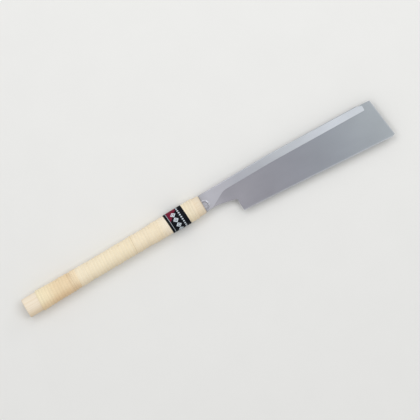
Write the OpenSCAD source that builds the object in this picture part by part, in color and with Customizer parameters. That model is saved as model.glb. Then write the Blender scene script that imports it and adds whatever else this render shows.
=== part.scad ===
// Japanese backed pull saw: a cane-wrapped wooden handle, a stiff folded steel back
// and a thin blade that hooks on a rivet in the neck. Millimetres.
// X runs from the butt to the tip along the handle axis, Y from the teeth to the back,
// Z is square to the blade. The origin is the centre of the butt face, in the blade's
// middle plane. Lengths called x below are measured forward from the nose of the handle.

/* [Handle] */
// Length of the wooden handle from butt to nose
handle_len = 291; // [260:1:330]
// Width of the wood at the butt
butt_w = 28.4; // [26.5:0.1:34]
// Width of the wood at the waist
waist_w = 24.8; // [22:0.1:26.5]
// Width of the wood at the nose
nose_w = 27.8; // [26.5:0.1:32]
// Thickness of the wood at both ends
end_t = 22; // [20.5:0.1:26]
// Thickness of the wood between the ends
waist_t = 20; // [16:0.1:20.5]
// Bare wood at the butt
butt_bare = 20; // [12:0.5:26]
// Bare wood at the nose
nose_bare = 9.5; // [6:0.5:16]
// Rounding of the front edge of the nose
nose_round = 3; // [1:0.1:4]
// Bevel around the butt face
butt_bevel = 1; // [0.3:0.1:2]

/* [Cane wrap] */
// Distance from turn to turn
cane_pitch = 4.53; // [4:0.01:6]
// Gap between turns
cane_gap = 0.5; // [0.45:0.05:1]
// Thickness of the flat cane
cane_t = 1.25; // [0.8:0.05:1.8]
// Depth of the flat that the wrap lies on
rest_flat = 0.5; // [0.3:0.05:0.7]

/* [Label] */
// Width of the label band along the handle
label_w = 29.1; // [15:0.1:40]
// Distance from the nose to the front edge of the label
label_from_nose = 27; // [18:0.1:40]
// Thickness of the label
label_t = 0.2; // [0.15:0.05:0.5]

/* [Neck and back] */
// Thickness of the folded sheet
sheet_t = 0.8; // [0.6:0.05:1.2]
// Height of the top edge above the handle axis
back_rise = 13.2; // [11.5:0.1:16]
// How far the back stops short of the blade's tip
back_short = 12.7; // [8:0.1:30]
// Height of the back at the neck
back_h = 11.8; // [9:0.1:14]
// Height of the back at its end
back_end_h = 10.7; // [9:0.1:14]
// Place of the slight bend in the back
bend_x = 113.5; // [80:0.5:150]
// Angle of the bend
bend_angle = 2.06; // [1:0.01:3]
// Rounding of the lower corner at the end of the back
back_end_r = 1.5; // [1:0.1:4.5]
// Length of the slanted cut at the upper corner of that end
back_cut_len = 9; // [5:0.1:14]
// Depth of that cut at the end
back_cut_h = 3.4; // [2:0.1:6]
// Drop of the neck's lower edge at the nose
neck_drop = 12.9; // [12:0.1:14]
// Least drop of the lower edge, in the throat
throat_drop = 11.8; // [11:0.1:13]
// Place of the throat
throat_x = 11.5; // [9:0.1:14]
// Place where the neck's slanted front edge meets the lower edge
slant_foot_x = 10.5; // [10:0.1:22]
// Place where the slanted edge meets the back
slant_head_x = 35.4; // [32:0.1:46]

/* [Tang] */
// Length of the tang inside the handle
tang_len = 96; // [60:1:120]
// Width of the tang at the nose
tang_w = 20; // [18:0.1:21]
// Width of the tang at its end
tang_end_w = 13; // [8:0.1:17]
// Diameter of the tang pins
tang_pin_d = 4; // [2:0.1:5]
// Distance of the front tang pin behind the nose
tang_pin_back = 32; // [20:0.5:40]
// Distance of the rear tang pin from the tang's end
tang_pin_end = 19; // [10:0.5:25]

/* [Blade] */
// Thickness of the blade
blade_t = 0.3; // [0.2:0.05:0.5]
// Length of the edge from heel to toe corner
edge_len = 240; // [210:1:270]
// Slope of the edge to the handle axis
edge_angle = 4.26; // [3:0.01:6]
// Place of the heel
heel_x = 46.3; // [40:0.1:60]
// Lean of the heel edge: how far its lower end lies forward
heel_lean = 0.7; // [0:0.1:3]
// Drop of the top of the heel below the axis
heel_drop = 18.9; // [16:0.1:24]
// Drop of the edge at the heel
edge_drop = 38.3; // [30:0.1:45]
// Drop of the tip's top corner below the line of the back
tip_drop = 1.5; // [1.3:0.1:4]
// Lean of the tip edge off square to the axis
tip_angle = 6.7; // [4:0.1:9]
// Cut off the toe corner along the toothed edge
toe_cut = 6.5; // [1:0.1:8]
// Cut off the toe corner along the tip edge
tip_cut = 2.8; // [1:0.1:6]
// Distance from tooth to tooth
tooth_pitch = 1.25; // [1:0.05:2]
// Depth of the teeth
tooth_depth = 1.2; // [0.6:0.05:1.6]

/* [Hook] */
// Diameter of the hook pin
pin_d = 5; // [3:0.1:6]
// Place of the hook pin
pin_x = 2; // [1:0.1:4]
// Drop of the hook pin below the axis
pin_drop = 3; // [1:0.1:4]
// Diameter of the pin's heads
pin_head_d = 14.4; // [9:0.1:16]
// Height of the pin's heads
pin_head_h = 0.8; // [0.5:0.05:1.2]
// Outer radius of the blade's hook
hook_r = 6.4; // [5:0.1:6.5]

/* [Clearances] */
// Clearance of the blade to each leaf
blade_fit = 0.05; // [0.03:0.01:0.1]
// Gap from the blade's back edge to the fold
fold_gap = 0.4; // [0.2:0.05:1]
// Radial clearance of the hook on its pin
pin_fit = 0.05; // [0.02:0.01:0.1]
// Clearance of the tang and its pins in the wood
wood_fit = 0.05; // [0.03:0.01:0.1]
// Clearance of the cane on the wood and the label on the cane
wrap_fit = 0.1; // [0.08:0.01:0.2]
// Gap between the neck's shoulders and the nose
shoulder_gap = 0.2; // [0.1:0.05:0.5]

/* [Hidden] */
$fn = 96;

wood_colour = [0.93, 0.86, 0.75];
cane_colours = [[0.93, 0.84, 0.69], [0.90, 0.81, 0.67], [0.88, 0.80, 0.68]];
label_colour = [0.10, 0.08, 0.08];
steel_colour = [0.72, 0.73, 0.76];
blade_colour = [0.61, 0.63, 0.66];

// How far cuts run past what they cut
overrun = 2;

// Swell of the handle from waist to ends: place as a share of its length, then the shares
// of the change in width and in thickness that are reached there
swell_shares = [
    [0, 1, 1], [0.095, 1, 1], [0.12, 0.68, 0.75], [0.26, 0.33, 0.1], [0.385, 0, 0], [0.70, 0, 0],
    [0.73, 0.4, 0], [0.80, 0.45, 0], [0.91, 0.8, 0], [0.955, 1, 1], [1, 1, 1]
];
width_shares = [for (s = swell_shares) [s[0], s[1]]];
thickness_shares = [for (s = swell_shares) [s[0], s[2]]];
half_sides = 18;
round_steps = 3;

// Cane: facets in a turn, turns in a strip, the strip's section, the gap at a joint
turn_facets = 20;
start_angle = -90;
strip_end_shares = [0.25, 0.607, 1];
cane_section_shares = [[-0.5, 0], [0.5, 0], [0.34, 1], [-0.34, 1]];
joint_turn_share = 0.006;
label_sides = 72;

// Rim and dish of the pin's heads, as shares of head radius and height
pin_head_shares = [[1, 0], [1, 0.35], [0.9, 0.85], [0.78, 1], [0.66, 0.8], [0.5, 0.45], [0, 0.4]];

// A tooth, as shares of its pitch and depth, from the heel: steep face, top bevel, long slope
tooth_shares = [[0, 0], [0.22, 1], [0.45, 0.86]];

throat_bow = 1.5;
throat_steps = 8;
slant_blend_share = 0.2;
blend_steps = 5;
corner_steps = 5;
fold_steps = 4;

slot_t = blade_t + 2 * blade_fit;
back_t = 2 * sheet_t + slot_t;
blade_seat = sheet_t + fold_gap;
edge_dir = [cos(edge_angle), -sin(edge_angle)];
tip_dir = [-sin(tip_angle), cos(tip_angle)];
far_dir = [cos(bend_angle), -sin(bend_angle)];
edge_start = [heel_x + heel_lean, -edge_drop];
toe = edge_start + edge_len * edge_dir;
toe_edge_end = toe - toe_cut * edge_dir;
tip_start = toe + tip_cut * tip_dir;
bend_at = [bend_x, back_rise];
far_up = [sin(bend_angle), cos(bend_angle)];
tip_top = toe + ((bend_at - toe) * far_up - tip_drop) / (tip_dir * far_up) * tip_dir;
back_len = tip_top.x - back_short;
pin_at = [pin_x, -pin_drop];

// Half sizes of the wood at a distance from the butt
function end_w(x) = x < handle_len / 2 ? butt_w : nose_w;
function half_w(x) = (waist_w + lookup(x / handle_len, width_shares) * (end_w(x) - waist_w)) / 2;
function half_t(x) = (waist_t + lookup(x / handle_len, thickness_shares) * (end_t - waist_t)) / 2;

// Cane helix: the strips share one helix from the butt to the nose
cane_w = cane_pitch - cane_gap;
cane_start = butt_bare + cane_w / 2;
cane_run = handle_len - butt_bare - nose_bare - cane_w;
cane_turns = floor(cane_run / cane_pitch);
helix_pitch = cane_run / cane_turns;
seat_scale = 1 / cos(180 / turn_facets);
function wrap_half(wood_half) = wood_half * seat_scale + wrap_fit + cane_t;
rest_z = -(wrap_half(end_t / 2) - rest_flat);

// Points of a blended corner, and of an arc
function blend(a, b, c, steps) =
    [for (i = [0:steps]) let (u = i / steps) (1 - u) * (1 - u) * a + 2 * u * (1 - u) * b + u * u * c];
function arc(centre, r, from, to, steps) =
    [for (i = [0:steps]) let (a = from + (to - from) * i / steps) centre + r * [cos(a), sin(a)]];

// Lower edge of neck and blade, from the nose over the throat to the heel
function throat_y(x) = x < throat_x
    ? -throat_drop - (neck_drop - throat_drop) * pow((throat_x - x) / throat_x, throat_bow)
    : -throat_drop - (heel_drop - throat_drop) * pow((x - throat_x) / (heel_x - throat_x), throat_bow);
function throat(from, to) =
    [for (i = [0:throat_steps]) let (x = from + (to - from) * i / throat_steps) [x, throat_y(x)]];

// Places along the far stretch of the back, at a depth below its top edge
function far_point(along, depth) = bend_at + along * far_dir - depth * far_up;
far_len = (back_len - bend_x) / cos(bend_angle);

module from_nose() {
    translate([handle_len, 0, 0]) children();
}

// Half the width of the tang, which tapers from the nose to its end
function tang_half(x) = tang_w / 2 + x / tang_len * (tang_w - tang_end_w) / 2;

module tang_outline(grow, front) {
    end = -tang_len - grow;
    front_y = tang_half(front) + grow;
    end_y = tang_half(end) + grow;
    polygon([[front, front_y], [end, end_y], [end, -end_y], [front, -front_y]]);
}

module at_tang_pins() {
    for (x = [-tang_pin_back, tang_pin_end - tang_len])
        translate([x, 0, 0]) children();
}

module tang_pin_bores() {
    at_tang_pins() cylinder(h = end_t + overrun, d = tang_pin_d + 2 * wood_fit, center = true);
}

// Rings of the wooden half, from the bevelled butt to the rounded nose: place and inset
wood_rings = concat(
    [[0, butt_bevel], [butt_bevel, 0]],
    [for (s = swell_shares) if (s[0] > 0 && s[0] < 1) [s[0] * handle_len, 0]],
    [for (i = [0:round_steps]) let (a = 90 * i / round_steps)
        [handle_len - nose_round * (1 - sin(a)), nose_round * (1 - cos(a))]]
);

module wood_half_body() {
    points = [
        for (r = wood_rings)
            for (j = [0:half_sides])
                let (a = 180 * j / half_sides)
                [r[0], (half_w(r[0]) - r[1]) * cos(a), (half_t(r[0]) - r[1]) * sin(a)]
    ];
    row = half_sides + 1;
    last = (len(wood_rings) - 1) * row;
    sides = [
        for (i = [0:len(wood_rings) - 2])
            for (j = [0:half_sides])
                let (a = i * row + j, b = i * row + (j + 1) % row)
                each [[a, a + row, b], [b, a + row, b + row]]
    ];
    caps = [for (j = [1:half_sides - 1]) each [[0, j, j + 1], [last, last + j + 1, last + j]]];
    polyhedron(points, concat(sides, caps));
}

// One half of the handle, with the tang's mortise, the pin bores and room for the hook pin's head
module wood_half() {
    difference() {
        wood_half_body();
        from_nose() {
            linear_extrude(height = back_t + 2 * wood_fit, center = true)
                tang_outline(wood_fit, overrun);
            tang_pin_bores();
            translate([pin_at.x, pin_at.y, 0])
                cylinder(
                    h = back_t + 2 * (pin_head_h + wood_fit),
                    r = max(pin_head_d / 2, hook_r) + wood_fit,
                    center = true
                );
        }
    }
}

module handle_upper_half() {
    color(wood_colour) wood_half();
}

module handle_lower_half() {
    color(wood_colour) mirror([0, 0, 1]) wood_half();
}

// Side view of back, neck and tang
module back_outline() {
    slant_low = [slant_foot_x, throat_y(slant_foot_x)];
    slant_top = [slant_head_x, back_rise - back_h];
    blend_in = slant_top + slant_blend_share * (slant_low - slant_top);
    blend_out = [slant_head_x + norm(blend_in - slant_top), slant_top.y];
    low_corner = far_point(far_len - back_end_r, back_end_h - back_end_r);
    cut_start = far_point(far_len - back_cut_len, 0);
    cut_end = far_point(far_len, back_cut_h);
    polygon(concat(
        throat(shoulder_gap, slant_foot_x),
        blend(blend_in, slant_top, blend_out, blend_steps),
        [[bend_x, back_rise - back_h]],
        arc(low_corner, back_end_r, -90 - bend_angle, -bend_angle, corner_steps),
        [cut_end, cut_start, bend_at],
        [[shoulder_gap, back_rise], [shoulder_gap, tang_half(shoulder_gap)]],
        [[-tang_len, tang_end_w / 2], [-tang_len, -tang_end_w / 2]],
        [[shoulder_gap, -tang_half(shoulder_gap)]]
    ));
}

// The slot between the leaves, open below and at both ends
module slot_outline() {
    far_end = far_point(far_len + overrun, sheet_t);
    polygon([
        [-tang_len - overrun, back_rise - sheet_t],
        [bend_x, back_rise - sheet_t],
        far_end,
        [far_end.x, -edge_drop],
        [-tang_len - overrun, -edge_drop]
    ]);
}

// What rounds one outer corner of the fold, from a point along a length
module fold_cut(at, angle, length) {
    for (side = [0, 1])
        mirror([0, 0, side])
            translate([at.x, at.y, 0])
                rotate([0, 0, angle])
                    rotate([90, 0, 90])
                        linear_extrude(height = length)
                            polygon(concat(
                                arc([-sheet_t, back_t / 2 - sheet_t], sheet_t, 0, 90, fold_steps),
                                [[-sheet_t, back_t / 2 + overrun], [overrun, back_t / 2 + overrun]],
                                [[overrun, back_t / 2 - sheet_t]]
                            ));
}

module folded_back() {
    color(steel_colour) from_nose() difference() {
        linear_extrude(height = back_t, center = true) back_outline();
        linear_extrude(height = slot_t, center = true) slot_outline();
        fold_cut([0, back_rise], 0, bend_x);
        fold_cut(bend_at, -bend_angle, far_len + overrun);
        tang_pin_bores();
        translate([pin_at.x, pin_at.y, 0])
            cylinder(h = back_t + overrun, d = pin_d + 2 * pin_fit, center = true);
    }
}

// Plate between the leaves of the tang, from its end to just behind the hook
module tang_spacer() {
    color(steel_colour) from_nose() difference() {
        linear_extrude(height = slot_t, center = true)
            tang_outline(0, pin_x - hook_r - fold_gap);
        tang_pin_bores();
    }
}

// Pins through both halves and the tang, ending inside the wood
module tang_pins() {
    color(steel_colour) from_nose() at_tang_pins()
        cylinder(h = waist_t - 2 * sheet_t, d = tang_pin_d, center = true);
}

// Rivet through both leaves, with a rimmed, dished head on each side
module hook_pin() {
    color(steel_colour) from_nose() translate([pin_at.x, pin_at.y, 0]) {
        cylinder(h = back_t, d = pin_d, center = true);
        for (side = [0, 1])
            mirror([0, 0, side])
                rotate_extrude()
                    polygon(concat(
                        [[0, back_t / 2]],
                        [for (s = pin_head_shares)
                            [s[0] * pin_head_d / 2, back_t / 2 + s[1] * pin_head_h]]
                    ));
    }
}

// Toothed edge from heel to toe
tooth_count = floor((edge_len - toe_cut) / tooth_pitch);
tooth_step = (edge_len - toe_cut) / tooth_count;
edge_out = [-sin(edge_angle), -cos(edge_angle)];
teeth = [
    for (i = [0:tooth_count - 1])
        for (s = tooth_shares)
            edge_start + (i + s[0]) * tooth_step * edge_dir - (1 - s[1]) * tooth_depth * edge_out
];

module blade_outline() {
    back_start_x = slant_head_x - blade_seat;
    back_y = back_rise - blade_seat;
    hook_top = -pin_drop + pin_d;
    polygon(concat(
        [[pin_x, -pin_drop - pin_d]],
        throat(min(throat_x, slant_foot_x), heel_x),
        teeth,
        [toe_edge_end, tip_start, tip_top],
        [far_point(far_len, blade_seat), [bend_x, back_y], [back_start_x, back_y]],
        [[slant_foot_x, hook_top], [pin_x, hook_top]]
    ));
}

// Blade with its hook, which is open towards the back and turns on the pin
module saw_blade() {
    color(blade_colour) from_nose() linear_extrude(height = blade_t, center = true)
        difference() {
            union() {
                blade_outline();
                translate(pin_at) circle(r = hook_r);
            }
            translate(pin_at) circle(d = pin_d + 2 * pin_fit);
            translate(pin_at + [-pin_d / 2 - pin_fit, 0]) square([pin_d + 2 * pin_fit, hook_r + overrun]);
        }
}

// A point of the cane at a turn count, across and up its section
function cane_point(turn, s) =
    let (
        a = start_angle - 360 * turn,
        x = cane_start + helix_pitch * turn + s[0] * cane_w,
        ry = half_w(x) * seat_scale + wrap_fit,
        rz = half_t(x) * seat_scale + wrap_fit,
        n = [cos(a) / ry, sin(a) / rz],
        up = s[1] * cane_t / norm(n)
    )
    [x, ry * cos(a) + up * n.x, max(rz * sin(a) + up * n.y, rest_z)];

function strip_rings(from, to) = round((to - from) * turn_facets);
function strip_points(from, to) =
    let (rings = strip_rings(from, to))
    [for (k = [0:rings]) for (s = cane_section_shares) cane_point(from + (to - from) * k / rings, s)];

// Least distance between neighbouring turns of a strip, from its lower corners
function strip_gap(points) =
    let (row = len(cane_section_shares), turn = turn_facets * row)
    min([for (k = [0:row:len(points) - turn - row]) norm(points[k + turn] - points[k + 1])]);

module cane_strip(index) {
    joint = joint_turn_share;
    from = index == 0 ? 0 : round(strip_end_shares[index - 1] * cane_turns) + joint;
    to = round(strip_end_shares[index] * cane_turns) - (index == 2 ? 0 : joint);
    points = strip_points(from, to);
    row = len(cane_section_shares);
    last = len(points) - row;
    sides = [
        for (i = [0:row:last - 1])
            for (j = [0:row - 1])
                let (a = i + j, b = i + (j + 1) % row)
                each [[a, b, a + row], [b, b + row, a + row]]
    ];
    caps = [for (j = [1:row - 2]) each [[0, j + 1, j], [last, last + j, last + j + 1]]];
    echo(str("least gap between turns of strip ", index + 1, ": ", strip_gap(points), " mm"));
    color(cane_colours[index]) polyhedron(points, concat(sides, caps));
}

module cane_rear() {
    cane_strip(0);
}

module cane_middle() {
    cane_strip(1);
}

module cane_front() {
    cane_strip(2);
}

// Closed oval band over the wrap
function oval(half_y, half_z) =
    [for (i = [0:label_sides - 1]) let (a = 360 * i / label_sides) [half_y * cos(a), half_z * sin(a)]];

module label_band() {
    front = handle_len - label_from_nose;
    band_y = wrap_half(half_w(front)) + wrap_fit;
    band_z = wrap_half(half_t(front)) + wrap_fit;
    color(label_colour) translate([front - label_w, 0, 0]) rotate([90, 0, 90])
        linear_extrude(height = label_w)
            difference() {
                polygon(oval(band_y + label_t, band_z + label_t));
                polygon(oval(band_y, band_z));
            }
}

handle_upper_half();
handle_lower_half();
folded_back();
tang_spacer();
tang_pins();
hook_pin();
saw_blade();
cane_rear();
cane_middle();
cane_front();
label_band();
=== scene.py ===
import math

import bmesh
import bpy
import numpy as np
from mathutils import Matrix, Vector


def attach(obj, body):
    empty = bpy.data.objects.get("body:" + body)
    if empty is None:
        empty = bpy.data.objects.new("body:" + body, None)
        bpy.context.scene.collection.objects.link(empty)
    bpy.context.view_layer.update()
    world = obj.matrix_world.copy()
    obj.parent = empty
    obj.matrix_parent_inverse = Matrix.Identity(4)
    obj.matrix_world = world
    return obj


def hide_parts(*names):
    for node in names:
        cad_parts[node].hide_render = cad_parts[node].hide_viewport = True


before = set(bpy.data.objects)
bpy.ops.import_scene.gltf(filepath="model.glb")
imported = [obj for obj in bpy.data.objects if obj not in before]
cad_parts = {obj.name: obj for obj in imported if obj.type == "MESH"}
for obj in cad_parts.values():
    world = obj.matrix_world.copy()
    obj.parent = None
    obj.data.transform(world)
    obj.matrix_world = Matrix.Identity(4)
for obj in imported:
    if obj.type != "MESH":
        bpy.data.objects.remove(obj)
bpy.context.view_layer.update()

# Sizes in millimetres, as in the part's source. X runs from the butt to the tip, Y from the
# teeth to the back, Z is square to the blade, and the origin is the centre of the butt face.
MM = 0.001
HANDLE_LEN = 291.0
BUTT_W, WAIST_W, NOSE_W = 28.4, 24.8, 27.8
END_T, WAIST_T = 22.0, 20.0
BUTT_BARE, NOSE_BARE = 20.0, 9.5
NOSE_ROUND, BUTT_ROUND = 3.0, 1.0
CANE_PITCH, CANE_GAP, CANE_T = 4.53, 0.5, 1.25
WRAP_FIT, REST_FLAT = 0.1, 0.5
TURN_FACETS = 20
LABEL_W, LABEL_FROM_NOSE, LABEL_T = 29.1, 27.0, 0.2
SHEET_T, SLOT_T = 0.8, 0.4
BACK_T = 2 * SHEET_T + SLOT_T
TANG_LEN, TANG_W, TANG_END_W, WOOD_FIT = 96.0, 20.0, 13.0, 0.05
PIN_X, PIN_DROP, PIN_D, PIN_HEAD_D, PIN_HEAD_H = 2.0, 3.0, 5.0, 14.4, 0.8
EDGE_LEN, EDGE_ANGLE, TOE_CUT, TIP_ANGLE = 240.0, 4.26, 6.5, 6.7
HEEL_X, HEEL_LEAN, EDGE_DROP = 46.3, 0.7, 38.3
TOOTH_PITCH, TOOTH_DEPTH = 1.25, 1.2

# Place along the handle, share of the swell in width, share of the swell in thickness
SWELL = np.array([
    (0, 1, 1), (0.095, 1, 1), (0.12, 0.68, 0.75), (0.26, 0.33, 0.1), (0.385, 0, 0), (0.70, 0, 0),
    (0.73, 0.4, 0), (0.80, 0.45, 0), (0.91, 0.8, 0), (0.955, 1, 1), (1, 1, 1),
])

CANE_W = CANE_PITCH - CANE_GAP
CANE_START = BUTT_BARE + CANE_W / 2
CANE_RUN = HANDLE_LEN - BUTT_BARE - NOSE_BARE - CANE_W
CANE_TURNS = math.floor(CANE_RUN / CANE_PITCH)
HELIX_PITCH = CANE_RUN / CANE_TURNS
SEAT_SCALE = 1 / math.cos(math.pi / TURN_FACETS)
REST_Z = -(END_T / 2 * SEAT_SCALE + WRAP_FIT + CANE_T - REST_FLAT)
STRIP_END_SHARES = (0, 0.25, 0.607, 1)
STRIP_ENDS = [round(share * CANE_TURNS) for share in STRIP_END_SHARES]
PIN_AT = (HANDLE_LEN + PIN_X, -PIN_DROP)

# The handle's half sizes on a fine grid, with the corners of the table eased
GRID_STEP, EASE_REACH, EASE_STEPS = 0.25, 2.5, 41
GRID = np.linspace(0, HANDLE_LEN, round(HANDLE_LEN / GRID_STEP) + 1)
EASE = np.exp(-np.linspace(-EASE_REACH, EASE_REACH, EASE_STEPS) ** 2)


def eased(column, butt_size, waist_size, nose_size):
    """Half sizes on the grid, from a column of the table and the full sizes."""
    end_size = np.where(GRID < HANDLE_LEN / 2, butt_size, nose_size)
    share = np.interp(GRID / HANDLE_LEN, SWELL[:, 0], SWELL[:, column])
    half = (waist_size + share * (end_size - waist_size)) / 2
    side = len(EASE) // 2
    padded = np.concatenate([np.full(side, half[0]), half, np.full(side, half[-1])])
    return np.convolve(padded, EASE / EASE.sum(), mode="valid")


HALF_W = eased(1, BUTT_W, WAIST_W, NOSE_W)
HALF_T = eased(2, END_T, WAIST_T, END_T)


def half_w(x):
    return np.interp(x, GRID, HALF_W)


def half_t(x):
    return np.interp(x, GRID, HALF_T)


def wrap_seat(x):
    """Half sizes of the surface that the wrap lies on."""
    return half_w(x) * SEAT_SCALE + WRAP_FIT, half_t(x) * SEAT_SCALE + WRAP_FIT


def smooth_step(edge0, edge1, value):
    """0 up to edge0, 1 from edge1 on, with a smooth rise between."""
    t = np.clip((value - edge0) / (edge1 - edge0), 0, 1)
    return t * t * (3 - 2 * t)


def wander(t, seed, slow, count=6):
    """A smooth, seeded wander along t, between -1 and 1."""
    rate_step, rate_spread = 1.7, (0.8, 1.2)
    draw = np.random.default_rng(seed)
    rates = slow * (1 + rate_step * np.arange(count)) * draw.uniform(*rate_spread, count)
    phases = draw.uniform(0, 2 * math.pi, count)
    weights = 1 / (1 + np.arange(count)) ** 0.5
    waves = np.sin(2 * math.pi * np.multiply.outer(t, rates) + phases) * weights
    return waves.sum(-1) / weights.sum()


# Meshes

def mesh_piece(name, points, faces, material, sharp, uv=None, corner_uv=None):
    """A new piece from points in millimetres. uv: maps with one pair per point, by name;
    corner_uv: maps with one pair per corner of a face."""
    mesh = bpy.data.meshes.new(name)
    mesh.from_pydata((np.asarray(points) * MM).tolist(), [], [list(map(int, f)) for f in faces])
    mesh.validate()
    corner = np.zeros(len(mesh.loops), np.int32)
    mesh.loops.foreach_get("vertex_index", corner)
    for map_name, pairs in (uv or {}).items():
        layer = mesh.uv_layers.new(name=map_name)
        layer.uv.foreach_set("vector", np.asarray(pairs, np.float32)[corner].ravel())
    for map_name, pairs in (corner_uv or {}).items():
        layer = mesh.uv_layers.new(name=map_name)
        layer.uv.foreach_set("vector", np.asarray(pairs, np.float32).ravel())
    finish_mesh(mesh, sharp)
    return shown(name, mesh, material)


FLAT_FACING = 0.9999


def finish_mesh(mesh, sharp, flat_sides=False):
    """Smooth shading up to an angle. With flat_sides, faces square to Z stay flat."""
    mesh.set_sharp_from_angle(angle=math.radians(sharp))
    facing = np.zeros(len(mesh.polygons) * 3, np.float32)
    mesh.polygons.foreach_get("normal", facing)
    smooth = np.ones(len(mesh.polygons), bool)
    if flat_sides:
        smooth = np.abs(facing[2::3]) < FLAT_FACING
    mesh.polygons.foreach_set("use_smooth", smooth)
    mesh.update()


def shown(name, mesh, material):
    """A new object with this mesh and material."""
    piece = bpy.data.objects.new(name, mesh)
    bpy.context.scene.collection.objects.link(piece)
    mesh.materials.clear()
    mesh.materials.append(material)
    return piece


def applied(piece):
    """Makes the piece's modifiers part of its mesh."""
    view = bpy.context.evaluated_depsgraph_get()
    mesh = bpy.data.meshes.new_from_object(piece.evaluated_get(view))
    piece.modifiers.clear()
    piece.data = mesh


def cut_away(piece, points, faces):
    """Cuts the solid with these points and faces out of the piece."""
    mesh = bpy.data.meshes.new("cutter")
    mesh.from_pydata((np.asarray(points) * MM).tolist(), [], faces)
    work = bmesh.new()
    work.from_mesh(mesh)
    bmesh.ops.recalc_face_normals(work, faces=work.faces)
    work.to_mesh(mesh)
    work.free()
    cutter = bpy.data.objects.new("cutter", mesh)
    bpy.context.scene.collection.objects.link(cutter)
    cut = piece.modifiers.new("cut", "BOOLEAN")
    cut.operation = "DIFFERENCE"
    cut.solver = "EXACT"
    cut.object = cutter
    applied(piece)
    bpy.data.objects.remove(cutter)


def grid_faces(rows, columns, closed):
    """Quads between rows of points; closed joins the last column to the first."""
    count = columns if closed else columns - 1
    i, j = np.meshgrid(np.arange(rows - 1), np.arange(count), indexing="ij")
    after = (j + 1) % columns
    here, there = i * columns, (i + 1) * columns
    quads = np.stack([here + j, there + j, there + after, here + after], -1)
    return quads.reshape(-1, 4).tolist()


def tube_faces(rows, columns):
    """Faces of a closed tube: the quads round it and its two ends."""
    last = (rows - 1) * columns
    ends = [list(range(columns)), list(range(last, last + columns))[::-1]]
    return grid_faces(rows, columns, closed=True) + ends


def circle(centre, radius, sides):
    """Points of a circle."""
    around = np.linspace(0, 2 * math.pi, sides, endpoint=False)
    return [(centre[0] + radius * math.cos(a), centre[1] + radius * math.sin(a)) for a in around]


def prism(outline, low, high):
    """Points and faces of an outline raised from low to high."""
    count = len(outline)
    points = [(x, y, low) for x, y in outline] + [(x, y, high) for x, y in outline]
    sides = [(i, (i + 1) % count, count + (i + 1) % count, count + i) for i in range(count)]
    return points, [tuple(range(count))[::-1], tuple(range(count, 2 * count)), *sides]


def cad_copy(node, name, material, sharp, bevel=0.0):
    """A new piece with a node's own shape, its flat faces joined and its edges eased."""
    weld, same_plane, eased_edge = 2e-7, 0.3, 50
    work = bmesh.new()
    work.from_mesh(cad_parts[node].data)
    bmesh.ops.remove_doubles(work, verts=work.verts, dist=weld)
    bmesh.ops.dissolve_limit(
        work,
        angle_limit=math.radians(same_plane),
        verts=work.verts,
        edges=work.edges,
        use_dissolve_boundaries=False,
    )
    bmesh.ops.recalc_face_normals(work, faces=work.faces)
    mesh = bpy.data.meshes.new(name)
    work.to_mesh(mesh)
    work.free()
    stored = mesh.attributes.get("custom_normal")
    if stored:
        mesh.attributes.remove(stored)
    piece = shown(name, mesh, material)
    if bevel:
        ease = piece.modifiers.new("ease", "BEVEL")
        ease.width = bevel * MM
        ease.segments = 2
        ease.limit_method = "ANGLE"
        ease.angle_limit = math.radians(eased_edge)
        ease.use_clamp_overlap = True
        applied(piece)
    finish_mesh(piece.data, sharp, flat_sides=True)
    return piece


# Materials

def rgb(red, green, blue):
    """A colour given in 0 to 255, as the shaders read it."""
    parts = np.array([red, green, blue]) / 255
    return (*np.where(parts < 0.04045, parts / 12.92, ((parts + 0.055) / 1.055) ** 2.4).tolist(), 1.0)


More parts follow.
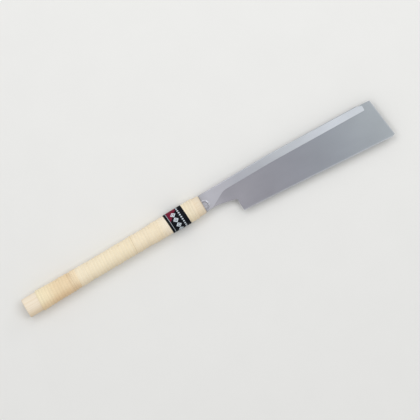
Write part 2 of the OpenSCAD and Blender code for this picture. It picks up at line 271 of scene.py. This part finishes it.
class Graph:
    """The nodes of one material, made by short calls that give back an output."""

    def __init__(self, name):
        self.material = bpy.data.materials.new(name)
        self.material.use_nodes = True
        self.tree = self.material.node_tree
        self.tree.nodes.clear()

    def node(self, kind, inputs, **settings):
        made = self.tree.nodes.new("ShaderNode" + kind)
        for key, value in settings.items():
            setattr(made, key, value)
        for key, value in inputs.items():
            if isinstance(value, bpy.types.NodeSocket):
                self.tree.links.new(value, made.inputs[key])
            else:
                made.inputs[key].default_value = value
        return made

    def math(self, operation, *values):
        return self.node("Math", dict(enumerate(values)), operation=operation).outputs[0]

    def add(self, a, b):
        return self.math("ADD", a, b)

    def times(self, a, b):
        return self.math("MULTIPLY", a, b)

    def step(self, value, low, high, to_low=0.0, to_high=1.0):
        ends = {"Value": value, "From Min": low, "From Max": high, "To Min": to_low, "To Max": to_high}
        return self.node("MapRange", ends, interpolation_type="SMOOTHSTEP").outputs["Result"]

    def band(self, value, low, high, soft):
        """1 between low and high, 0 outside, with soft ends."""
        rise = self.step(value, low - soft, low + soft)
        return self.times(rise, self.step(value, high + soft, high - soft))

    def place(self):
        """Place on the piece in millimetres."""
        return self.stretch(self.node("TexCoord", {}).outputs["Object"], (1 / MM,) * 3)

    def facing(self):
        """The three parts of the surface's direction."""
        return self.split(self.node("TexCoord", {}).outputs["Normal"])

    def uv(self, name):
        return self.node("UVMap", {}, uv_map=name).outputs["UV"]

    def stretch(self, vector, by):
        return self.node("VectorMath", {0: vector, 1: by}, operation="MULTIPLY").outputs[0]

    def split(self, vector):
        return self.node("SeparateXYZ", {0: vector}).outputs[:]

    def join(self, x, y, z):
        return self.node("CombineXYZ", {0: x, 1: y, 2: z}).outputs[0]

    def noise(self, vector, by=(1, 1, 1), detail=2.0, rough=0.5):
        inputs = {"Vector": self.stretch(vector, by), "Scale": 1.0, "Detail": detail, "Roughness": rough}
        return self.node("TexNoise", inputs).outputs["Fac"]

    def mix(self, factor, a, b, blend="MIX"):
        made = self.node("Mix", {0: factor, 6: a, 7: b}, data_type="RGBA", blend_type=blend)
        return made.outputs[2]

    def ramp(self, value, stops):
        """Colours at places, which value runs through."""
        low, high = stops[0][0], stops[-1][0]
        share = self.node("MapRange", {"Value": value, "From Min": low, "From Max": high})
        made = self.node("ValToRGB", {0: share.outputs[0]})
        elements = made.color_ramp.elements
        for i, (at, colour) in enumerate(stops):
            position = (at - low) / (high - low)
            element = elements[i] if i < 2 else elements.new(position)
            element.position = position
            element.color = colour
        return made.outputs["Color"]

    def shade(self, factor, colour, depth):
        """The colour, darker or lighter around a factor of a half."""
        value = self.add(self.times(self.add(factor, -0.5), 2 * depth), 1.0)
        grey = self.node("CombineColor", {0: value, 1: value, 2: value}).outputs[0]
        return self.mix(1.0, colour, grey, "MULTIPLY")

    def bump(self, height, strength, distance):
        inputs = {"Height": height, "Strength": strength, "Distance": distance * MM}
        return self.node("Bump", inputs).outputs[0]

    def surface(self, colour, roughness, normal, **plain):
        inputs = {"Base Color": colour, "Roughness": roughness, "Normal": normal}
        inputs.update({key.replace("_", " "): value for key, value in plain.items()})
        shader = self.node("BsdfPrincipled", inputs)
        self.node("OutputMaterial", {"Surface": shader.outputs[0]})
        return self.material


def wood_material():
    """Pale straight-grained wood: year rings around a pith outside the handle, fibres and pores."""
    pith_y, pith_z, ring, waver = 38.0, 52.0, 1.9, 3.0
    rear, front = rgb(241, 228, 207), rgb(233, 218, 193)
    late_wood, end_wood, pore_colour = rgb(222, 197, 158), rgb(196, 164, 118), rgb(176, 140, 96)
    shaded, nose = rgb(220, 193, 152), rgb(212, 202, 186)
    g = Graph("pale_wood")
    p = g.place()
    x, y, z = g.split(p)
    drift = g.noise(p, (0.012, 0.05, 0.05), 2)
    off_y, off_z = g.add(y, pith_y), g.add(z, pith_z)
    away = g.math("SQRT", g.add(g.math("POWER", off_y, 2.0), g.math("POWER", off_z, 2.0)))
    phase = g.math("FRACT", g.times(g.add(away, g.times(drift, waver)), 1 / ring))
    late = g.times(g.step(phase, 0.45, 0.92), g.step(phase, 1.0, 0.95))
    fibre = g.noise(p, (0.05, 3.5, 3.5), 4, 0.6)
    pores = g.step(g.noise(p, (0.1, 8.0, 8.0), 1), 0.62, 0.72)
    ground = g.mix(g.step(x, 100.0, 270.0), rear, front)
    colour = g.mix(g.times(late, 0.25), ground, late_wood)
    # Painted shade: the wood is darker and warmer on the side of the teeth.
    painted_side_shade = g.times(g.step(y, -2.0, -14.0), g.step(x, 10.0, 280.0, 0.55, 0.25))
    colour = g.mix(painted_side_shade, colour, shaded)
    # Painted shade: greyer and darker towards the rounded nose.
    colour = g.mix(g.step(x, 282.0, HANDLE_LEN, 0.0, 0.4), colour, nose)
    end_grain = g.step(g.math("ABSOLUTE", g.facing()[0]), 0.5, 0.95)
    colour = g.mix(g.times(end_grain, g.add(g.times(late, 0.4), 0.25)), colour, end_wood)
    colour = g.shade(fibre, colour, 0.09)
    colour = g.mix(g.times(pores, 0.22), colour, pore_colour)
    rough = g.add(g.times(fibre, 0.2), 0.45)
    height = g.add(g.times(fibre, 0.7), g.add(g.times(late, 0.4), g.times(pores, -0.6)))
    return g.surface(colour, rough, g.bump(height, 0.12, 0.03), Specular_IOR_Level=0.35)


def cane_material(name, stops, tooth_side_shade, edge, slant=0.0, lines=None, last_turn=None):
    """Split cane. stops: colours along the handle, whose borders lean by slant; tan, edge: colour and
    share of the painted shade on the side of the teeth, and of the painted light along the turns' edges;
    lines: a stretch with marked fine lines; last_turn: the turn whose front edge is darker, at a joint."""
    line_colour, knot_colour, seam_colour = rgb(196, 164, 118), rgb(190, 154, 108), rgb(196, 168, 120)
    knots_a_turn, first_knot, knot_size = 0.273, 0.41, 0.002
    g = Graph(name)
    p = g.place()
    x, y, _ = g.split(p)
    # u counts the turns, v runs across the strip in millimetres
    u, v, _ = g.split(g.uv("strip"))
    off_middle = g.math("ABSOLUTE", v)
    fibre = g.noise(g.join(g.times(u, 6.0), g.times(v, 5.0), 0.0), detail=4, rough=0.65)
    streak = g.noise(g.join(g.times(u, 1.3), g.times(v, 1.1), 3.7))
    turn = g.noise(g.join(g.times(u, 0.83), 0.0, 9.1), detail=3, rough=0.7)
    mottle = g.noise(p, (0.22, 0.22, 0.22), 3, 0.6)
    colour = g.ramp(g.add(x, g.times(y, -slant)), stops)
    for spread, depth in ((turn, 0.05), (streak, 0.08), (fibre, 0.12), (mottle, 0.06)):
        colour = g.shade(spread, colour, depth)
    # Painted shade: darker and warmer on the side of the teeth.
    colour = g.mix(g.step(y, -2.0, -13.0, 0.0, tooth_side_shade[1]), colour, tooth_side_shade[0])
    if lines:
        stripe = g.noise(g.join(g.times(u, 0.02), g.times(x, 1.6), 1.3))
        dark = g.times(g.step(stripe, 0.52, 0.62), g.band(x, *lines, 1.5))
        colour = g.mix(g.times(dark, 0.6), colour, line_colour)
    knot_at = g.math("FRACT", g.add(g.times(u, knots_a_turn), first_knot))
    knot_at = g.add(knot_at, g.times(g.add(fibre, -0.5), 0.006))
    knot = g.times(g.band(knot_at, 0.5, 0.5 + knot_size, 0.003), g.step(off_middle, 2.3, 1.2))
    colour = g.mix(g.times(knot, 0.4), colour, knot_colour)
    # Painted light: paler along the turns' edges, which lifts the shade in the grooves between turns.
    colour = g.mix(g.step(off_middle, 1.5, 2.3, 0.0, edge[1]), colour, edge[0])
    if last_turn:
        seam = g.times(g.step(v, 0.9, 2.0), g.step(u, last_turn, last_turn + 0.3))
        colour = g.mix(g.times(seam, 0.5), colour, seam_colour)
    rough = g.add(g.times(fibre, 0.22), 0.36)
    height = g.add(fibre, g.times(knot, 1.2))
    return g.surface(colour, rough, g.bump(height, 0.3, 0.05), Specular_IOR_Level=0.4)


def label_material():
    """Printed paper with a plain ornament. u runs along the handle from the label's rear edge, v around
    it from the top, in millimetres."""
    ink, pale, red, worn = rgb(12, 15, 21), rgb(218, 228, 236), rgb(116, 28, 52), rgb(150, 146, 140)
    field_rear, field_front, field_top, field_slope, field_cut = 4.6, 19.5, 22.0, 0.9, -3.45
    line_rear, line_front, line_reach, worn_w = 3.6, 4.1, 24.0, 0.35
    large_pitch, small_pitch = 8.4, 3.5
    g = Graph("printed_paper")
    u, v, _ = g.split(g.uv("print"))
    paper = g.noise(g.place(), (1.6, 1.6, 1.6), 5, 0.65)
    colour = g.shade(paper, ink, 0.25)

    def diamonds(pitch, middle, half_width, tall_share):
        """0 in the middle of each diamond of a column, 1 at its side corners."""
        tall = g.math("ABSOLUTE", g.add(g.math("FRACT", g.add(g.times(v, 1 / pitch), 0.5)), -0.5))
        wide = g.times(g.math("ABSOLUTE", g.add(u, -middle)), 1 / half_width)
        return g.add(g.times(tall, tall_share), wide)

    # A red field along the rear and the side of the back, cut off on a slant
    slant = g.add(v, g.times(u, -field_slope))
    cut = g.step(slant, field_cut - 0.15, field_cut + 0.15)
    field = g.times(cut, g.step(v, field_top, field_top - 0.2))
    field = g.times(g.band(u, field_rear, field_front, 0.12), field)
    colour = g.mix(g.times(field, g.add(g.times(paper, 0.3), 0.8)), colour, red)
    # A thin line, a column of nested diamonds and a column of small ones
    line = g.times(g.band(u, line_rear, line_front, 0.08), g.band(v, -line_reach, line_reach, 0.1))
    large = diamonds(large_pitch, 12.6, 4.3, 2.1)
    nested = g.add(g.step(large, 0.36, 0.32), g.band(large, 0.58, 0.96, 0.03))
    nested = g.times(nested, g.band(v, -2.5 * large_pitch, 1.5 * large_pitch, 0.1))
    small = g.step(diamonds(small_pitch, 21.4, 1.7, 2.4), 1.0, 0.9)
    small = g.times(small, g.band(v, -5.5 * small_pitch, 5.5 * small_pitch, 0.1))
    marks = g.math("MAXIMUM", nested, g.times(small, 0.85))
    marks = g.math("MAXIMUM", g.times(line, 0.75), marks)
    colour = g.mix(g.times(marks, g.step(paper, 0.25, 0.45, 0.75, 1.0)), colour, pale)
    edge = g.math("MAXIMUM", g.step(u, worn_w, 0.0), g.step(u, LABEL_W - worn_w, LABEL_W))
    colour = g.mix(g.times(edge, g.times(paper, 0.7)), colour, worn)
    rough = g.add(g.times(paper, 0.25), 0.38)
    return g.surface(colour, rough, g.bump(paper, 0.15, 0.03), Specular_IOR_Level=0.08)


def steel_material(name, stops, roughness, marks, mark_colour):
    """Rolled and brushed steel. stops: colours along the blade, whose lighter and darker stretches are
    painted reflections; marks(g, place) gives the share of the mark's colour."""
    g = Graph(name)
    p = g.place()
    streak = g.noise(p, (0.03, 5.0, 5.0), 5, 0.6)
    fine = g.noise(p, (0.25, 22.0, 22.0), 3, 0.6)
    cloud = g.noise(p, (0.02, 0.035, 0.035), 3, 0.55)
    tone = g.add(g.times(streak, 0.4), g.add(g.times(fine, 0.25), g.times(cloud, 0.35)))
    colour = g.ramp(g.split(p)[0], stops)
    colour = g.shade(tone, colour, 0.14)
    rough = g.add(g.add(g.times(streak, 0.12), g.times(cloud, 0.08)), roughness - 0.1)
    colour = g.mix(marks(g, p), colour, mark_colour)
    height = g.add(g.times(fine, 0.5), streak)
    return g.surface(colour, rough, g.bump(height, 0.12, 0.01), Metallic=1.0)


def lighter_edge_bands(g, p):
    """Lighter bands along the toothed edge and the tip edge."""
    x, y, _ = g.split(p)
    start_x, start_y = HANDLE_LEN + HEEL_X + HEEL_LEAN, -EDGE_DROP
    slope = math.radians(EDGE_ANGLE)
    above = g.add(
        g.times(g.add(x, -start_x), math.sin(slope)),
        g.times(g.add(y, -start_y), math.cos(slope)),
    )
    lean = math.radians(TIP_ANGLE)
    toe_x, toe_y = start_x + EDGE_LEN * math.cos(slope), start_y - EDGE_LEN * math.sin(slope)
    inside = g.add(
        g.times(g.add(x, -toe_x), -math.cos(lean)),
        g.times(g.add(y, -toe_y), -math.sin(lean)),
    )
    return g.math("MAXIMUM", g.step(above, 2.4, 1.2, 0.0, 0.6), g.step(inside, 1.6, 0.7, 0.0, 0.4))


def painted_nose_shade(g, p):
    """Painted shade on the steel beside the wood's nose: a dark line and a fainter band further out."""
    line_w, shade_reach = 2.4, 14.0
    x = g.split(p)[0]
    line = g.step(x, HANDLE_LEN + line_w, HANDLE_LEN, 0.0, 0.3)
    return g.add(line, g.step(x, HANDLE_LEN + shade_reach, HANDLE_LEN, 0.0, 0.22))


def painted_dish_shade(g, p):
    """Painted shade: the ring between the rim and the middle of the rivet's heads, kept dark."""
    inner, outer, soft, share = 4.3, 5.5, 0.5, 0.6
    offset = g.node("VectorMath", {0: p, 1: (*PIN_AT, 0.0)}, operation="SUBTRACT").outputs[0]
    x, y, _ = g.split(offset)
    away = g.math("SQRT", g.add(g.times(x, x), g.times(y, y)))
    return g.times(g.band(away, inner, outer, soft), share)


WOOD = wood_material()
# Painted light: the pale colour along the turns' edges. Painted shade: the warm colour on the side of
# the teeth, and the rear strip's darker one.
EDGE_FILL_LIGHT, WARM_SIDE_SHADE = rgb(254, 247, 228), rgb(216, 188, 146)
CANE_REAR = cane_material("cane_rear", [
    (20, rgb(240, 227, 193)), (38, rgb(241, 224, 189)), (50, rgb(236, 214, 177)),
    (70, rgb(235, 212, 175)), (76, rgb(241, 222, 190)), (86, rgb(240, 221, 188)),
], (rgb(206, 156, 94), 0.36), (EDGE_FILL_LIGHT, 0.1), slant=0.25, lines=(70, 84))
CANE_MIDDLE = cane_material("cane_middle", [
    (84, rgb(241, 227, 200)), (120, rgb(240, 226, 197)), (180, rgb(239, 224, 194)),
], (WARM_SIDE_SHADE, 0.25), (EDGE_FILL_LIGHT, 0.4), last_turn=STRIP_ENDS[2] - 1)
CANE_FRONT = cane_material("cane_front", [
    (174, rgb(240, 225, 197)), (222, rgb(238, 223, 195)), (232, rgb(240, 228, 207)),
    (262, rgb(236, 223, 193)), (284, rgb(235, 220, 195)),
], (WARM_SIDE_SHADE, 0.25), (EDGE_FILL_LIGHT, 0.4))
LABEL = label_material()
# The stops paint lighter and darker stretches of reflection along the back.
BACK_STEEL = steel_material("back_steel", [
    (290, rgb(190, 190, 198)), (325, rgb(190, 190, 198)), (352, rgb(178, 180, 188)),
    (420, rgb(182, 186, 192)), (515, rgb(201, 206, 213)), (550, rgb(192, 197, 203)),
], 0.32, painted_nose_shade, rgb(112, 112, 110))
# The stops paint lighter and darker stretches of reflection along the blade.
BLADE_STEEL = steel_material("blade_steel", [
    (300, rgb(173, 172, 178)), (312, rgb(168, 167, 174)), (322, rgb(158, 157, 165)),
    (332, rgb(154, 153, 161)), (346, rgb(154, 153, 161)), (430, rgb(142, 144, 152)),
    (500, rgb(145, 150, 157)), (570, rgb(152, 158, 163)),
], 0.34, lighter_edge_bands, rgb(196, 199, 204))
PIN_STEEL = steel_material("pin_steel", [
    (190, rgb(186, 186, 194)), (300, rgb(190, 190, 198)),
], 0.28, painted_dish_shade, rgb(104, 104, 110))


# The wooden handle, in two halves with a fine joint line between them

ROUND_RINGS, LENGTH_RINGS, HALF_TURN_POINTS, BORE_SIDES = 6, 80, 65, 64
SEAM, MOUTH_OVERRUN, HEAD_ROOM, WOOD_SHARP = 0.12, 2.0, 0.15, 40


def handle_rings():
    """Places along the handle, each with how far the rounded ends bring the surface in there."""
    arc = np.linspace(0, math.pi / 2, ROUND_RINGS)
    butt = [(BUTT_ROUND * (1 - math.cos(a)), BUTT_ROUND * (1 - math.sin(a))) for a in arc]
    nose = [(HANDLE_LEN - NOSE_ROUND * (1 - math.sin(a)), NOSE_ROUND * (1 - math.cos(a))) for a in arc]
    middle = np.linspace(BUTT_ROUND, HANDLE_LEN - NOSE_ROUND, LENGTH_RINGS)[1:-1]
    return butt + [(x, 0.0) for x in middle] + nose


def mortise():
    """Outline of the tang's room, open at the nose."""
    taper = (TANG_W - TANG_END_W) / 2 / TANG_LEN
    front, end = MOUTH_OVERRUN, -TANG_LEN - WOOD_FIT
    front_y, end_y = (TANG_W / 2 + taper * x + WOOD_FIT for x in (front, end))
    corners = [(front, front_y), (end, end_y), (end, -end_y), (front, -front_y)]
    return [(HANDLE_LEN + x, y) for x, y in corners]


def wood_half(name, side):
    """The upper half with side 1, the lower half with side -1."""
    turn = np.linspace(0, math.pi, HALF_TURN_POINTS)
    rings = []
    for x, inset in handle_rings():
        w, t = half_w(x) - inset, half_t(x) - inset
        y, z = w * np.cos(turn), np.maximum(t * np.sin(turn), 0)
        z = SEAM + z * (t - SEAM) / t
        arch = np.stack([np.full_like(y, x), y, z], -1)
        first, last = (x, w - SEAM, 0.0), (x, SEAM - w, 0.0)
        rings.append(np.vstack([first, arch, last]))
    faces = tube_faces(len(rings), len(rings[0]))
    if side > 0:
        faces = [f[::-1] for f in faces]
    points = np.concatenate(rings)
    points[:, 2] *= side
    piece = mesh_piece(name, points, faces, WOOD, WOOD_SHARP)
    room = BACK_T / 2 + WOOD_FIT
    cut_away(piece, *prism(mortise(), -room, room))
    room += PIN_HEAD_H
    cut_away(piece, *prism(circle(PIN_AT, PIN_HEAD_D / 2 + HEAD_ROOM, BORE_SIDES), -room, room))
    finish_mesh(piece.data, WOOD_SHARP)
    return piece


# The cane wrap: one helix in three strips, whose turns wander as if wound by hand

CANE_SHOWN_W, CANE_EDGE, CANE_CROWN, CANE_SUNK = 4.58, 0.46, 2.2, -0.1
ACROSS = np.array([-0.5, -0.47, -0.42, -0.35, -0.25, -0.13, 0.0, 0.13, 0.25, 0.35, 0.42, 0.47, 0.5])
CROWN = [(a, 1 - (1 - CANE_EDGE) * abs(2 * a) ** CANE_CROWN) for a in ACROSS]
# Shares of the strip's width and thickness, up one side, over the crown and down the other side
CANE_SECTION = np.array([(-0.5, CANE_SUNK), *CROWN, (0.5, CANE_SUNK)])
RINGS_A_TURN, STRIP_JOINT, CANE_SHARP = 60, 0.006, 50
SWAY, SINK, LEAN, NARROWING, UNEVENNESS = 0.03, 0.10, 0.05, 0.012, 0.62
# Turns stand uneven between the swell at the butt and the label
UNEVEN_FROM, UNEVEN_TO = (30, 50), (228, 213)


def strip_points(t):
    """Points of a strip, one ring of its section for each count of turns in t."""
    across, up = CANE_SECTION.T
    middle = CANE_START + HELIX_PITCH * t
    sway = SWAY * wander(t, 11, 0.02)
    sink = SINK * (0.5 - 0.5 * wander(t, 12, 0.31))
    lean = LEAN * wander(t, 13, 0.17)
    narrow = 1 - NARROWING * (0.5 - 0.5 * wander(t, 14, 0.21))
    free = smooth_step(*UNEVEN_FROM, middle) * smooth_step(*UNEVEN_TO, middle)
    swell = UNEVENNESS * wander(t, 15, 0.15) * free
    x = middle[:, None] + across * CANE_SHOWN_W * narrow[:, None] + sway[:, None]
    ry, rz = wrap_seat(x)
    angle = -2 * math.pi * t - math.pi / 2
    cos, sin = np.cos(angle)[:, None], np.sin(angle)[:, None]
    ny, nz = cos / ry, sin / rz
    raised = (swell - sink)[:, None] + lean[:, None] * (across * 2 - 1)
    rise = (up * CANE_T + raised * (up > 0)) / np.hypot(ny, nz)
    y = ry * cos + rise * ny
    z = np.maximum(rz * sin + rise * nz, REST_Z)
    return np.stack([x, y, z], -1)


def strip_maps(t):
    """Two maps of a strip. Laid flat, a pair per point: turns along it, millimetres across. For baking,
    a pair per corner of a face: one row per turn, and a corner of the first row for the two ends."""
    row_margin, end_corner, slack = 0.04, 0.001, 1e-6
    across, up = CANE_SECTION.T
    steps = np.hypot(np.diff(across) * CANE_SHOWN_W, np.diff(up) * CANE_T)
    around = np.concatenate([[0], np.cumsum(steps)])
    flat = np.stack(np.broadcast_arrays(t[:, None], around - around[-1] / 2), -1)
    girth = around[-1] + CANE_SHOWN_W
    row = np.floor(t[:-1] + slack)[:, None]
    row_count = row[-1] - row[0] + 1

    def deep(place):
        return (row - row[0] + row_margin + (1 - 2 * row_margin) * place / girth) / row_count

    here, there = t[:-1, None] - row, t[1:, None] - row
    low, high = deep(around), deep(np.append(around[1:], girth))
    corners = [(here, high), (there, high), (there, low), (here, low)]
    quads = np.stack([np.stack(np.broadcast_arrays(*pair), -1) for pair in corners], 2)
    ends = np.full((2 * len(CANE_SECTION), 2), end_corner)
    return flat.reshape(-1, 2), np.concatenate([quads.reshape(-1, 2), ends])


def cane_strip(name, index, material):
    start = STRIP_ENDS[index] + (STRIP_JOINT if index > 0 else 0)
    end = STRIP_ENDS[index + 1] - (STRIP_JOINT if index + 2 < len(STRIP_ENDS) else 0)
    t = np.linspace(start, end, round((end - start) * RINGS_A_TURN) + 1)
    points = strip_points(t).reshape(-1, 3)
    faces = [f[::-1] for f in tube_faces(len(t), len(CANE_SECTION))]
    flat, baking = strip_maps(t)
    maps = {"uv": {"strip": flat}, "corner_uv": {"OFBake": baking}}
    return mesh_piece(name, points, faces, material, CANE_SHARP, **maps)


# The paper label: a sheet once round the wrap, slightly askew, its ends overlapping underneath

LABEL_RINGS, LABEL_SIDES, LABEL_SHARP = 64, 241, 50
LABEL_OVERLAP, LABEL_CLEAR, LABEL_RIDGE = 0.22, 0.04, 0.05
LABEL_LEAN_Y, LABEL_LEAN_Z = -0.066, 0.06
LAP_LIFT, LAP_FROM, LAP_TO = 1.3, 0.5, 0.1


def paper_label():
    front = HANDLE_LEN - LABEL_FROM_NOSE
    along = np.linspace(front - LABEL_W, front, LABEL_RINGS)
    seam = 1.5 * math.pi
    turn = np.linspace(-math.pi / 2 - LABEL_OVERLAP, seam + LABEL_OVERLAP, LABEL_SIDES)
    flat_x, a = np.meshgrid(along, turn, indexing="ij")
    cos, sin = np.cos(a), np.sin(a)
    x = flat_x + LABEL_LEAN_Y * half_w(front) * cos + LABEL_LEAN_Z * half_t(front) * (sin - 1)
    wrap_phase = (x - CANE_START) / HELIX_PITCH + (a + math.pi / 2) / (2 * math.pi)
    ridge = LABEL_RIDGE * (np.cos(2 * math.pi * wrap_phase) - 1)
    lap = smooth_step(seam - LAP_FROM, seam - LAP_TO, a)
    lift = LABEL_CLEAR + ridge + LAP_LIFT * LABEL_T * lap

    def sheet(height):
        ry, rz = (half + CANE_T + height for half in wrap_seat(x))
        return np.stack([x, ry * cos, np.maximum(rz * sin, REST_Z)], -1)

    outer, inner = sheet(lift + LABEL_T), sheet(lift)
    points = np.concatenate([outer.reshape(-1, 3), inner.reshape(-1, 3)])
    rows, columns = x.shape
    count = rows * columns
    quads = grid_faces(rows, columns, closed=False)
    faces = [f[::-1] for f in quads] + [[count + i for i in f] for f in quads]
    index = np.arange(count).reshape(rows, columns)
    border = [*index[:, 0], *index[-1, 1:], *index[-2::-1, -1], *index[0, -2:0:-1]]
    for here, there in zip(border, border[1:] + border[:1]):
        faces.append([here, there, count + there, count + here])
    steps = np.linalg.norm(np.diff(outer[rows // 2], axis=0), axis=1)
    arc = np.concatenate([[0], np.cumsum(steps)])
    arc -= np.interp(math.pi / 2, turn, arc)
    pairs = np.stack([flat_x - along[0], np.broadcast_to(-arc, x.shape)], -1).reshape(-1, 2)
    maps = {"print": np.vstack([pairs, pairs])}
    return mesh_piece("paper_label", points, faces, LABEL, LABEL_SHARP, uv=maps)


# The hook's rivet: a rimmed, dished head on each side and the shank between

# Shares of the head's radius and height, from the dish over the rim to the outer edge
RIVET_PROFILE_SHARES = [
    (0.25, 0.50), (0.45, 0.50), (0.58, 0.50), (0.61, 0.51), (0.63, 0.56), (0.66, 0.78), (0.68, 0.86),
    (0.70, 0.90), (0.75, 0.90), (0.79, 0.90), (0.805, 0.88), (0.82, 0.83), (0.86, 0.63), (0.90, 0.43),
    (0.94, 0.24), (0.98, 0.04), (1.0, 0.0),
]
RIVET_SIDES, RIVET_SHARP = 96, 45


def rivet():
    top = BACK_T / 2
    head = [(r * PIN_HEAD_D / 2, top + h * PIN_HEAD_H) for r, h in RIVET_PROFILE_SHARES]
    half = [*head, (PIN_D / 2, top)]
    full = half + [(r, -h) for r, h in half[::-1]]
    points = [(x, y, h) for r, h in full for x, y in circle(PIN_AT, r, RIVET_SIDES)]
    return mesh_piece("rivet", points, tube_faces(len(full), RIVET_SIDES), PIN_STEEL, RIVET_SHARP)


# The blade: the node's own outline, with its teeth filed and set alternately

BLADE_SHARP = 20


def toothed_blade():
    bent, filed, slack = 0.08, 0.10, 1e-4
    piece = cad_copy("saw_blade", "blade_plate", BLADE_STEEL, BLADE_SHARP)
    mesh = piece.data
    at = np.zeros(len(mesh.vertices) * 3)
    mesh.vertices.foreach_get("co", at)
    at = at.reshape(-1, 3) / MM
    slope = math.radians(EDGE_ANGLE)
    ahead = np.array([math.cos(slope), -math.sin(slope)])
    start = np.array([HANDLE_LEN + HEEL_X + HEEL_LEAN, -EDGE_DROP])
    run = EDGE_LEN - TOE_CUT
    step = run / math.floor(run / TOOTH_PITCH)
    along = (at[:, :2] - start) @ ahead
    above = (at[:, 0] - start[0]) * math.sin(slope) + (at[:, 1] - start[1]) * math.cos(slope)
    toothed = (above < TOOTH_DEPTH / 2) & (along > step) & (along < run - step)
    tooth = np.floor(along / step + slack)
    side = np.where(tooth % 2 == 0, 1.0, -1.0)
    face = np.sign(at[:, 2])
    at[:, 2] += np.where(toothed, side * bent, 0)
    at[:, :2] += np.where(toothed, side * face * filed, 0)[:, None] * ahead
    mesh.vertices.foreach_set("co", (at * MM).ravel())
    finish_mesh(mesh, BLADE_SHARP, flat_sides=True)
    return piece


BACK_SHARP, BACK_EASE = 32, 0.14


def place_piece(piece, body, slot, *nodes):
    """Attaches the piece to what carries it and hides the nodes it stands for; slot is not used."""
    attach(piece, body)
    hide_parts(*nodes)


place_piece(wood_half("wood_upper", 1), "handle", "handle_wood", "handle_upper_half")
place_piece(wood_half("wood_lower", -1), "handle", "handle_wood", "handle_lower_half")
place_piece(cane_strip("wrap_rear", 0, CANE_REAR), "handle", "cane_pale", "cane_rear")
place_piece(cane_strip("wrap_middle", 1, CANE_MIDDLE), "handle", "cane_warm", "cane_middle")
place_piece(cane_strip("wrap_front", 2, CANE_FRONT), "handle", "cane_front", "cane_front")
place_piece(paper_label(), "handle", "label", "label_band")
back = cad_copy("folded_back", "back_plate", BACK_STEEL, BACK_SHARP, BACK_EASE)
place_piece(back, "handle", "back_steel", "folded_back")
place_piece(rivet(), "handle", "pin_steel", "hook_pin")
place_piece(toothed_blade(), "blade", "blade_steel", "saw_blade")
for node, material in (("tang_spacer", BACK_STEEL), ("tang_pins", PIN_STEEL)):
    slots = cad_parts[node].data.materials
    slots.clear()
    slots.append(material)


# Floor, light and camera

def floor():
    g = Graph("pale_floor")
    grain = g.noise(g.place(), (0.02, 0.02, 0.02), 4)
    colour = g.shade(grain, rgb(232, 232, 230), 0.015)
    material = g.surface(colour, 0.8, g.bump(grain, 0.02, 0.2), Specular_IOR_Level=0.2)
    reach, level = 20000.0, REST_Z - 0.03
    sides = ((-1, -1), (1, -1), (1, 1), (-1, 1))
    corners = np.array([(x * reach, y * reach, level) for x, y in sides])
    mesh = bpy.data.meshes.new("floor")
    mesh.from_pydata((corners * MM).tolist(), [], [(0, 1, 2, 3)])
    return shown("floor", mesh, material)


def softbox(name, at, aim, size, power):
    """A rectangular lamp at a place, turned to a point, in metres and watts."""
    lamp = bpy.data.lights.new(name, "AREA")
    lamp.shape = "RECTANGLE"
    lamp.size, lamp.size_y = size
    lamp.energy = power
    made = bpy.data.objects.new(name, lamp)
    bpy.context.scene.collection.objects.link(made)
    made.location = at
    made.rotation_mode = "QUATERNION"
    made.rotation_quaternion = (Vector(aim) - Vector(at)).to_track_quat("-Z", "Y")


def plain_world(light):
    world = bpy.data.worlds.new("studio")
    bpy.context.scene.world = world
    world.use_nodes = True
    ground = world.node_tree.nodes["Background"]
    ground.inputs["Color"].default_value = (1.0, 1.0, 1.0, 1.0)
    ground.inputs["Strength"].default_value = light


SAW_MIDDLE = (0.29, 0.0, 0.0)
floor()
plain_world(0.56)
softbox("key", (0.2, 0.95, 1.6), SAW_MIDDLE, (1.4, 0.9), 8.5)
softbox("top", (1.9, -0.1, 2.9), (1.9, -0.1, 0.0), (1.8, 1.8), 24.0)
softbox("rear", (-1.2, -0.1, 2.9), (-1.2, -0.1, 0.0), (1.8, 1.8), 8.0)
softbox("kicker", (1.43, 0.66, 0.73), SAW_MIDDLE, (0.8, 0.3), 1.6)

VIEW_WIDTH, TURN = 0.5964, 30.687
LOOK_AT = (0.2961, -0.01265)
camera = bpy.data.cameras.new("camera")
camera.lens, camera.sensor_width = 300.0, 36.0
camera_object = bpy.data.objects.new("camera", camera)
bpy.context.scene.collection.objects.link(camera_object)
camera_object.location = (*LOOK_AT, VIEW_WIDTH * camera.lens / camera.sensor_width)
camera_object.rotation_euler = (0.0, 0.0, -math.radians(TURN))
bpy.context.scene.camera = camera_object
bpy.context.scene.view_settings.view_transform = "Standard"
